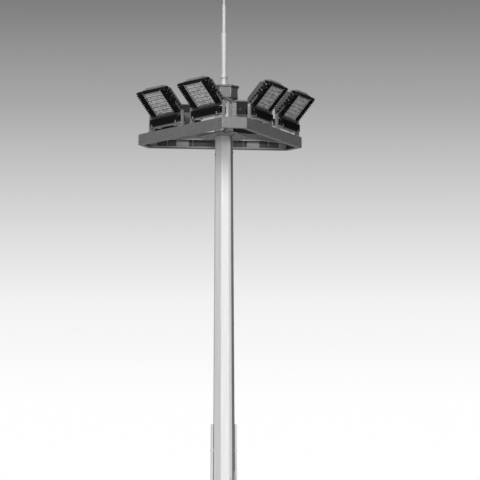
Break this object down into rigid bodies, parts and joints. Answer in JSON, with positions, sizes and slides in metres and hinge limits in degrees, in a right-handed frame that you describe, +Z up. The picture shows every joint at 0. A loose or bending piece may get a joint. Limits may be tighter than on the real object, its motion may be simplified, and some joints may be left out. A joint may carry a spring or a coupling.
{
  "type": "high mast floodlight tower",
  "caption": "Octagonal tapered steel mast with a triangular lamp ring, tilting floodlights, octagonal head drum, side cable channels, access door and finial.",
  "frame": {"origin": "centre of the underside of the base flange, where it stands on its foundation", "axes": "+Z up along the mast, -Y towards the front corner of the lamp ring and the access door, +X to the right seen from the front"},
  "size_m": [2.1404, 1.9941, 16.341],
  "materials": {
    "galvanised_base": "hot-dip galvanised, matt",
    "galvanised_shaft": "pale galvanised, matt",
    "galvanised_channel": "galvanised, matt",
    "galvanised_frame": "galvanised, weathered",
    "galvanised_stay": "galvanised, weathered",
    "galvanised_drum": "galvanised, satin",
    "finial_white": "pale satin",
    "galvanised_yoke": "galvanised",
    "driver_black": "black powder coat",
    "lamp_black": "black powder coat",
    "lamp_window": "clear pane over pale light sources",
    "lamp_grey": "grey coat, matt"
  },
  "bodies": {
    "tower": {"base_flange": "galvanised_base", "base_gussets": "galvanised_base", "lower_shaft": "galvanised_shaft", "upper_shaft": "galvanised_shaft", "door_frame": "galvanised_base", "door_panel": "galvanised_base", "cable_channel_left": "galvanised_channel", "cable_channel_right": "galvanised_channel", "ring_beam_left": "galvanised_frame", "ring_beam_right": "galvanised_frame", "ring_beam_far": "galvanised_frame", "ring_corner_front": "galvanised_frame", "ring_corner_left": "galvanised_frame", "ring_corner_right": "galvanised_frame", "star_frame": "galvanised_frame", "front_stay": "galvanised_stay", "head_drum": "galvanised_drum", "drum_lid": "galvanised_drum", "finial_socket": "finial_white", "finial_rod": "finial_white", "yoke_left_1": "galvanised_yoke", "driver_left_1": "driver_black", "yoke_left_2": "galvanised_yoke", "driver_left_2": "driver_black", "yoke_right_1": "galvanised_yoke", "driver_right_1": "driver_black", "yoke_right_2": "galvanised_yoke", "driver_right_2": "driver_black", "yoke_far_1": "galvanised_yoke", "driver_far_1": "driver_black", "yoke_far_2": "galvanised_yoke", "driver_far_2": "driver_black"},
    "lamp_left_1": {"lamp_body_left_1": "lamp_black", "lamp_window_left_1": "lamp_window", "lamp_back_left_1": "lamp_grey"},
    "lamp_left_2": {"lamp_body_left_2": "lamp_black", "lamp_window_left_2": "lamp_window", "lamp_back_left_2": "lamp_grey"},
    "lamp_right_1": {"lamp_body_right_1": "lamp_black", "lamp_window_right_1": "lamp_window", "lamp_back_right_1": "lamp_grey"},
    "lamp_right_2": {"lamp_body_right_2": "lamp_black", "lamp_window_right_2": "lamp_window", "lamp_back_right_2": "lamp_grey"},
    "lamp_far_1": {"lamp_body_far_1": "lamp_black", "lamp_window_far_1": "lamp_window", "lamp_back_far_1": "lamp_grey"},
    "lamp_far_2": {"lamp_body_far_2": "lamp_black", "lamp_window_far_2": "lamp_window", "lamp_back_far_2": "lamp_grey"}
  },
  "joints": [
    {"name": "tilt_left_1", "type": "hinge", "parent": "tower", "child": "lamp_left_1", "pos_m": [-0.6717, -0.0183, 14.495], "axis": [0.5, -0.866, 0], "range_deg": [-35, 35]},
    {"name": "tilt_left_2", "type": "hinge", "parent": "tower", "child": "lamp_left_2", "pos_m": [-0.2667, -0.71978, 14.495], "axis": [0.5, -0.866, 0], "range_deg": [-35, 35]},
    {"name": "tilt_right_1", "type": "hinge", "parent": "tower", "child": "lamp_right_1", "pos_m": [0.3517, -0.57256, 14.495], "axis": [0.5, 0.866, 0], "range_deg": [-35, 35]},
    {"name": "tilt_right_2", "type": "hinge", "parent": "tower", "child": "lamp_right_2", "pos_m": [0.7567, 0.12892, 14.495], "axis": [0.5, 0.866, 0], "range_deg": [-35, 35]},
    {"name": "tilt_far_1", "type": "hinge", "parent": "tower", "child": "lamp_far_1", "pos_m": [0.32, 0.59086, 14.495], "axis": [-1, 0, 0], "range_deg": [-35, 35]},
    {"name": "tilt_far_2", "type": "hinge", "parent": "tower", "child": "lamp_far_2", "pos_m": [-0.49, 0.59086, 14.495], "axis": [-1, 0, 0], "range_deg": [-52, 18]}
  ]
}
